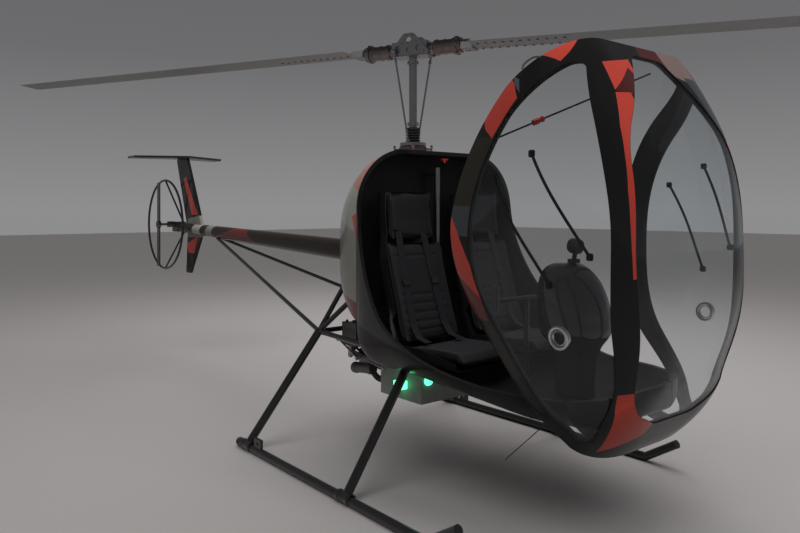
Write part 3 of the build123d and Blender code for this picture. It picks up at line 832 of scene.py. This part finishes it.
# %% Bellows, collars and rod ends on the mast
BELLOWS_RIBS = 5
BELLOWS_FOOT = 1.8955
bellows_line = [(0.026, 0.0), (0.047, 0.0), (0.047, 0.006)]
for k in range(BELLOWS_RIBS):
    foot = 0.008 + k * 0.0165
    bellows_line += [(0.037, foot), (0.046, foot + 0.006), (0.047, foot + 0.0083),
                     (0.046, foot + 0.0105)]
bellows_line += [(0.036, 0.0905), (0.040, 0.093), (0.038, 0.0955), (0.026, 0.0955)]
bellows = lathe(bellows_line, at(0, 0, BELLOWS_FOOT), (0, 0, 1), 40, ring=True)
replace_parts(add_piece("mast_bellows", "main_rotor", "rubber_black", bellows, 25.0), "mast_boot")

SWASH_Z = 1.885
COLLAR = ((0.0258, -0.010), (0.036, -0.010), (0.036, 0.010), (0.0258, 0.010))
ROD_EYE = ((0.004, -0.010), (0.010, -0.009), (0.013, -0.004), (0.013, 0.004), (0.010, 0.009),
           (0.004, 0.010))
ROD_NUT = ((0.0062, -0.014), (0.0095, -0.012), (0.0095, 0.012), (0.0062, 0.014))
mast_meshes = [lathe(COLLAR, at(0, 0, z), (0, 0, 1), 32, ring=True) for z in (2.400, 2.014)]
for s in (-1, 1):
    foot = at(-s * 0.066 * ROTOR[1], s * 0.066 * ROTOR[0], SWASH_Z + 0.022)
    head = rotor_point(s * 0.090, s * 0.085, -0.012)
    mast_meshes += [lathe(ROD_EYE, end, (*ROTOR, 0), 16) for end in (foot, head)]
    mast_meshes += [lathe(ROD_NUT, foot.lerp(head, k), head - foot, 6) for k in (0.10, 0.90)]
add_piece("mast_collars", "main_rotor", "bright_metal", merged(mast_meshes), 30.0)

# %% Swashplate levers and roof collar
lever_meshes = []
for turn in (40, 140, 220, 320):
    a = math.radians(turn)
    arm = Vector((math.cos(a), math.sin(a), 0))
    top = at(0, 0, SWASH_Z - 0.030) + arm * 0.084
    knee = at(0, 0, SWASH_Z - 0.035) + arm * 0.118
    lever_meshes.append(bent_rod([top, knee], 0.007))
    lever_meshes.append(bent_rod([knee + Vector((0, 0, 0.018)), knee - Vector((0, 0, 0.070))],
                                 0.0055))
    for up in (0.018, -0.036):
        lever_meshes.append(lathe(((0.004, -0.008), (0.011, -0.006), (0.011, 0.006),
                                   (0.004, 0.008)), knee + Vector((0, 0, up)), arm, 14))
    lever_meshes.append(bent_rod([at(0, 0, 1.792) + arm * 0.090, at(0, 0, 1.795) + arm * 0.150],
                                 0.009))
lever_meshes.append(lathe(((0.066, -0.012), (0.083, -0.012), (0.083, 0.006), (0.078, 0.012),
                           (0.066, 0.012)), at(0, 0, 1.803), (0, 0, 1), 44, ring=True))
add_piece("swashplate_levers", "airframe", "bright_metal", merged(lever_meshes), 30.0)

# %% [markdown]
# ## Fittings on the clear plastic
# A chrome scoop ring lets air in low on each side window, and two black runners carry the
# sliding pane above it. They lie on the curved plastic, so each is placed by a ray that
# finds the surface, on one side, and is mirrored to the other. A small grab handle and a
# thin stay with a red knob are bent rod on the canopy's rim.

# %% Vent rings, runners, grab handle and stay
WINDOW = "side_window_right"
VENT = (1.608, 0.957)
RUNNERS = (((1.546, 1.705), (1.742, 1.292)), ((1.343, 1.612), (1.578, 1.172)))
RING = ((0.036, 0.006), (0.039, 0.011), (0.044, 0.012), (0.049, 0.009), (0.050, 0.002),
        (0.046, -0.012), (0.040, -0.012), (0.036, -0.004))
RUNNER_STEPS = 12
INNER_RING = ((0.027, 0.002), (0.029, 0.005), (0.032, 0.004), (0.032, -0.004), (0.028, -0.004))


def on_window(x, z):
    return touch(WINDOW, at(x, -1.2, z), Vector((0, 1, 0)))


def both_sides(mesh):
    """The mesh with its mirror image across the middle plane."""
    other = mesh.copy()
    other.transform(Matrix.Scale(-1, 4, (0, 1, 0)))
    other.flip_normals()
    return merged([mesh, other])


place, facing = on_window(*VENT)
vent_meshes = [lathe(RING, place, facing, 48, ring=True),
               lathe(INNER_RING, place, facing, 40, ring=True)]
add_piece("vent_rings", "canopy", "chrome", both_sides(merged(vent_meshes)), 40.0)

runner_meshes = []
for (x0, z0), (x1, z1) in RUNNERS:
    line = []
    for k in range(RUNNER_STEPS + 1):
        share = k / RUNNER_STEPS
        place, facing = on_window(x0 + (x1 - x0) * share, z0 + (z1 - z0) * share)
        if place is not None:
            line.append(place + facing * 0.002)
    runner_meshes.append(bent_rod(line, 0.0065))
    for end in (line[0], line[-1]):
        runner_meshes.append(block(end, (0.030, 0.014, 0.030), bevel=0.004))
add_piece("window_runners", "canopy", "trim_black", both_sides(merged(runner_meshes)), 50.0)

GRAB = ((1.428, -0.598, 2.066), (1.424, -0.622, 2.080), (1.480, -0.584, 2.130),
        (1.490, -0.556, 2.118))
add_piece("grab_handle", "canopy", "bright_metal",
          bent_rod([at(*p) for p in GRAB], 0.0045, bends=True))
STAY = ((1.316, -0.650, 1.786), (1.62, 0.06, 2.106))
KNOB = 0.26                           # share of the way along the stay
stay_ends = [at(*p) for p in STAY]
add_piece("canopy_stay", "canopy", "satin_black", bent_rod(stay_ends, 0.0045))
add_piece("stay_knob", "canopy", "red_knob", lathe(
    ((0.006, -0.030), (0.013, -0.027), (0.014, 0.0), (0.010, 0.010), (0.014, 0.020),
     (0.012, 0.028), (0.005, 0.030)),
    stay_ends[0].lerp(stay_ends[1], KNOB), stay_ends[1] - stay_ends[0], 20))

# %% [markdown]
# ## Skid fittings
# Saddle clamps hold each leg to its skid, with a bolt at each corner, and rubber caps close
# the tube ends.

# %% Clamps, caps and bolts on the skids
SKID_Y = 0.86
SKID_Z = 0.024
clamp_meshes = []
clamp_bolts = []
cap_meshes = []
for s in (-1, 1):
    for x in (-0.553, 0.4835):
        clamp_meshes.append(lathe(
            ((0.0243, -0.055), (0.0300, -0.052), (0.0315, -0.040), (0.0300, -0.030),
             (0.0300, 0.030), (0.0315, 0.040), (0.0300, 0.052), (0.0243, 0.055)),
            at(x, s * SKID_Y, SKID_Z + 0.006), (1, 0, 0), 28, ring=True))
        for along_x in (-0.040, 0.040):
            for side in (-1, 1):
                clamp_bolts.append((at(x + along_x, s * SKID_Y + side * 0.032, SKID_Z + 0.008),
                                    Vector((0, side, 0))))
    cap_meshes.append(lathe(
        ((0.018, -0.010), (0.0245, -0.006), (0.0262, 0.0), (0.0262, 0.040), (0.0243, 0.044)),
        at(-0.660, s * SKID_Y, SKID_Z + 0.003), (1, 0, 0), 28))
add_piece("skid_clamps", "airframe", "satin_black", merged(clamp_meshes), 30.0)
add_piece("skid_caps", "airframe", "rubber_black", merged(cap_meshes), 30.0)
bolts("clamp_bolts", "airframe", "bright_metal", clamp_bolts, 0.006, 0.007)

# %% [markdown]
# ## Instrument pod
# The pod is a narrow glossy stem that swells into a dome. Its level sections are rounded
# boxes, listed in a table. A smooth curve through the table gives the sections between them,
# so that the gloss shows no steps.

# %% Instrument pod
POD_AROUND = 96
POD_STEPS = 5                         # sections for each row of the table
POD_ROUND = 0.88                      # 1 is an ellipse, less is nearer to a box
POD_RINGS = (
    # height, rear x, front x, half width
    (0.545, 1.135, 1.345, 0.070), (0.70, 1.130, 1.350, 0.078), (0.80, 1.110, 1.372, 0.104),
    (0.86, 1.078, 1.410, 0.160), (0.92, 1.066, 1.412, 0.172), (1.00, 1.062, 1.400, 0.174),
    (1.08, 1.066, 1.368, 0.168), (1.14, 1.078, 1.328, 0.152), (1.185, 1.100, 1.282, 0.122),
    (1.208, 1.130, 1.240, 0.080), (1.213, 1.160, 1.205, 0.034))


def pod_ring(z, rear, front, half):
    """One level section of the pod, a rounded box."""
    return [at((rear + front) / 2 + (front - rear) / 2 * boxy(c, POD_ROUND),
               half * boxy(s, POD_ROUND), z) for c, s in circle(POD_AROUND)]


def pod_dome():
    """The dome over the table's sections, by a Catmull-Rom curve through them."""
    rows = []
    table = [Vector(ring) for ring in (POD_RINGS[0], *POD_RINGS, POD_RINGS[-1])]
    for p0, p1, p2, p3 in zip(table, table[1:], table[2:], table[3:]):
        for step in range(POD_STEPS):
            t = step / POD_STEPS
            rows.append(pod_ring(*0.5 * (
                2 * p1 + (p2 - p0) * t + (2 * p0 - 5 * p1 + 4 * p2 - p3) * t * t
                + (3 * p1 - p0 - 3 * p2 + p3) * t ** 3)))
    rows.append(pod_ring(*POD_RINGS[-1]))
    return smoothed(skin(rows))


pod = add_piece("pod_dome", "airframe", "gloss_black", pod_dome(), 80.0)
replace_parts(pod, "instrument_pod")

# %% [markdown]
# ## Harness
# Each seat has two shoulder straps that lie on the back pad and run down to the lap. A strap
# is webbing of one width and length, so it is a thin section swept along a line over the
# pads, spreading a little towards the hips, with a buckle below the middle.

# %% Harness
STRAP_PATH = ((0.185, 1.470), (0.262, 1.452), (0.305, 1.360), (0.352, 1.200), (0.410, 1.010),
              (0.470, 0.840), (0.520, 0.782), (0.600, 0.768))
STRAP_HALF = 0.023
STRAP_STEPS = 40
STRAP_SECTION = ((-1, 0), (0, 0.0012), (1, 0), (1, 0.0016), (0, 0.0028), (-1, 0.0016))


def strap(y_top, y_foot):
    """Flat webbing along the path, drifting sideways from shoulder to lap."""
    return skin([[at(x, y_top + (y_foot - y_top) * share + side * STRAP_HALF, z) + outward * lift
                  for side, lift in STRAP_SECTION]
                 for share, (x, z), outward in frames(STRAP_PATH, STRAP_STEPS, 0.07)])


strap_length = sum(math.dist(a, b) for a, b in zip(STRAP_PATH, STRAP_PATH[1:]))
for side, s in SIDES:
    for place, off, drift in (("outer", 0.085, 0.120), ("inner", -0.085, -0.120)):
        y_top = s * (SEAT_Y + off)
        y_foot = s * (SEAT_Y + drift)
        add_piece(f"strap_{place}_{side}", "airframe", "webbing", strap(y_top, y_foot), 60.0)
        buckle = block(at(0.395, y_top + (y_foot - y_top) * 0.62, 1.075), (0.012, 0.052, 0.040),
                       Matrix.Rotation(math.radians(-17), 4, "Y"), 0.003)
        add_piece(f"buckle_{place}_{side}", "airframe", "satin_black", buckle)
print("strap length", round(strap_length, 3))

# %% [markdown]
# ## Engine accessories
# Under the CAD engine block hang the parts that give an engine its look: a ribbed sump, a
# few round cans, black hoses and thin control rods. Blocks, lathe shapes and bent rod make
# all of them.

# %% Engine accessories
def drum(start, end, radius, lip=0.004):
    """A closed can with a lip at each end."""
    start, end = at(*start), at(*end)
    span = (end - start).length
    shape = ((0.004, 0.0), (radius - lip, 0.0), (radius, lip), (radius, 0.18 * span),
             (radius - lip, 0.20 * span), (radius - lip, 0.80 * span), (radius, 0.82 * span),
             (radius, span - lip), (radius - lip, span), (0.004, span))
    return lathe(shape, start, end - start, 28)


sump = [block(at(-0.13, -0.04, 0.520), (0.22, 0.26, 0.085), bevel=0.012),
        block(at(-0.13, -0.04, 0.470), (0.15, 0.19, 0.030), bevel=0.010)]
sump += [block(at(-0.20 + 0.028 * rib, -0.173, 0.520), (0.006, 0.012, 0.070), bevel=0.001)
         for rib in range(6)]
sump += [drum((-0.26, -0.19, 0.545), (-0.26, -0.19, 0.440), 0.037),
         drum((0.02, -0.33, 0.520), (-0.17, -0.33, 0.500), 0.034),
         drum((0.05, 0.14, 0.520), (-0.14, 0.14, 0.500), 0.038)]
add_piece("engine_sump", "airframe", "cast_alloy", merged(sump), 30.0)
HOSES = (
    # radius, then points in mast coordinates
    (0.013, (0.13, -0.20, 0.470), (0.02, -0.24, 0.440), (-0.10, -0.24, 0.455),
     (-0.17, -0.23, 0.575)),
    (0.010, (0.13, -0.12, 0.440), (0.00, -0.22, 0.415), (-0.14, -0.22, 0.430),
     (-0.22, -0.25, 0.60)),
    (0.012, (0.13, 0.18, 0.460), (0.00, 0.22, 0.440), (-0.14, 0.20, 0.470),
     (-0.20, 0.20, 0.58)),
    (0.008, (-0.26, -0.19, 0.545), (-0.31, -0.24, 0.60), (-0.33, -0.30, 0.70),
     (-0.25, -0.33, 0.78)),
)
hoses = [bent_rod([at(*q) for q in points], radius, bends=True) for radius, *points in HOSES]
add_piece("engine_hoses", "airframe", "rubber_black", merged(hoses), 60.0)
RODS = (((0.14, -0.345, 0.545), (-0.16, -0.345, 0.585)),
        ((0.14, -0.28, 0.50), (-0.20, -0.28, 0.545)),
        ((-0.30, -0.36, 0.66), (-0.10, -0.36, 0.57)))
rods = []
for first, last in RODS:
    rods.append(bent_rod([at(*first), at(*last)], 0.006))
    rods += [drum(end, (end[0], end[1] - 0.012, end[2]), 0.013, 0.002) for end in (first, last)]
add_piece("engine_rods", "airframe", "bright_metal", merged(rods), 40.0)

# %% [markdown]
# ## Black linings
# The painted shells are black inside, but a patch of the livery goes right through them. A
# thin skin, grown from the shell's own faces that look inwards, covers the paint there.

# %% Black linings
LINING_STAND = 0.0012
LINING_WALL = 0.0009


def lining(name, node, body, centre):
    """A thin black skin on the faces of a painted shell that look towards its centre."""
    shape = bmesh.new()
    shape.from_mesh(NODES[node].data)
    middle = at(*centre)
    rays = [(face, (face.calc_center_median() - middle).normalized()) for face in shape.faces]
    outward = [face for face, ray in rays
               if face.normal.dot(ray) > -0.25 * face.normal.length]
    bmesh.ops.delete(shape, geom=outward, context="FACES")
    bmesh.ops.remove_doubles(shape, verts=shape.verts, dist=1e-5)
    shape.normal_update()
    for vert in shape.verts:
        vert.co += vert.normal * LINING_STAND
    bmesh.ops.solidify(shape, geom=shape.faces[:], thickness=-LINING_WALL)
    add_piece(name, body, "trim_black", finished(shape), 40.0)


lining("cabin_lining", "rear_shell", "airframe", (0.30, 0.0, 1.25))
lining("canopy_lining", "canopy_frame", "canopy", (1.42, 0.0, 1.32))

# %% [markdown]
# A small compass stands on the pod, a red catch sits under the roof's edge, and the lamp on
# the belly box has a round green lens.

# %% Compass, roof catch and lamp lens
compass = [block(at(1.235, 0, 1.222), (0.050, 0.040, 0.020)),
           bent_rod([at(1.235, 0, 1.225), at(1.243, 0, 1.262)], 0.012),
           lathe(((0.012, -0.030), (0.034, -0.028), (0.038, -0.018), (0.038, 0.020),
                  (0.034, 0.028), (0.020, 0.030)), at(1.245, 0, 1.296), (-1, 0, 0.1), 32)]
add_piece("compass", "airframe", "trim_black", merged(compass), 35.0)
catch = [block(at(0.262, 0.027, 1.778), (0.020, 0.044, 0.012)),
         bent_rod([at(0.262, 0.015, 1.774), at(0.285, 0.012, 1.758)], 0.005)]
add_piece("roof_catch", "airframe", "red_knob", merged(catch), 35.0)
lens = lathe(((0.004, 0.022), (0.014, 0.020), (0.022, 0.014), (0.027, 0.004), (0.028, -0.002),
              (0.020, -0.002)), at(0.482, -0.300, 0.532), (1, 0, 0), 32)
add_piece("green_lens", "airframe", "lamp_green", lens, 60.0)

# %% [markdown]
# ## Floor and light
# The hall's carpet becomes a plain grey floor, a millimetre under the skids. Three broad
# lamps and a very soft sun stand for the light of the hall's roof. Their own shapes would
# show as white patches in the glass and the lacquer, so they are kept out of reflections,
# and the gloss shows the world instead: light at the horizon, dark above.

# %% Floor
CARPET = (0.27, 0.255, 0.25)
FAR = 40.0                            # half the floor's width
coat = Coat("carpet", roughness=0.95)
pile = coat.noise(500.0, 2.0)
coat.colour(pile, tuple(0.92 * c for c in CARPET), CARPET)
coat.bump(pile, 0.08)
floor_mesh = bpy.data.meshes.new("floor")
floor_mesh.from_pydata([(x * FAR, y * FAR, -0.001) for x, y in (
    (-1, -1), (1, -1), (1, 1), (-1, 1))], [], [(0, 1, 2, 3)])
floor_mesh.materials.append(coat.material)
floor = bpy.data.objects.new("floor", floor_mesh)
bpy.context.scene.collection.objects.link(floor)

# %% World and lamps
world = bpy.data.worlds.new("hall")
bpy.context.scene.world = world
world.use_nodes = True
HALL_STOPS = ((0.0, (0.14, 0.14, 0.14)), (0.50, (0.27, 0.27, 0.275)), (0.60, (0.15, 0.15, 0.155)),
              (1.0, (0.04, 0.04, 0.042)))
hall = Graph(world.node_tree)
direction = hall.node("ShaderNodeTexCoord", {}, {}, "Generated")
height = hall.node("ShaderNodeSeparateXYZ", {}, {"Vector": direction}, "Z")
rise = hall.node("ShaderNodeMapRange", {}, {"Value": height, "From Min": -1.0}, "Result")
shade = hall.node("ShaderNodeValToRGB", {"stops": HALL_STOPS}, {"Fac": rise}, "Color")
hall.join(hall.tree.nodes["Background"].inputs["Color"], shade)
LAMPS = (
    # name, place, aim, size across, size along, watts
    ("roof_light_fore", (4.0, 1.0, 6.5), (0.8, 0, 1.0), 3.0, 8.0, 260.0),
    ("roof_light_mid", (0.0, 2.0, 7.0), (0.4, 0, 1.0), 3.0, 8.0, 240.0),
    ("roof_light_aft", (-3.5, 2.5, 6.0), (-1.0, 0, 1.0), 3.0, 7.0, 200.0),
)
for name, place, aim, across, reach, watts in LAMPS:
    light = bpy.data.lights.new(name, "AREA")
    light.shape = "RECTANGLE"
    light.size = across
    light.size_y = reach
    light.energy = watts
    roof_light = bpy.data.objects.new(name, light)
    roof_light.location = place
    run = Vector(aim) - Vector(place)
    roof_light.rotation_euler = run.to_track_quat("-Z", "Y").to_euler()
    roof_light.visible_glossy = False
    bpy.context.scene.collection.objects.link(roof_light)

sun = bpy.data.lights.new("hall_light", "SUN")
sun.energy = 1.9
sun.angle = math.radians(40)
sun_object = bpy.data.objects.new("hall_light", sun)
sun_object.rotation_euler = (math.radians(28), math.radians(18), 0)
sun_object.visible_glossy = False
bpy.context.scene.collection.objects.link(sun_object)
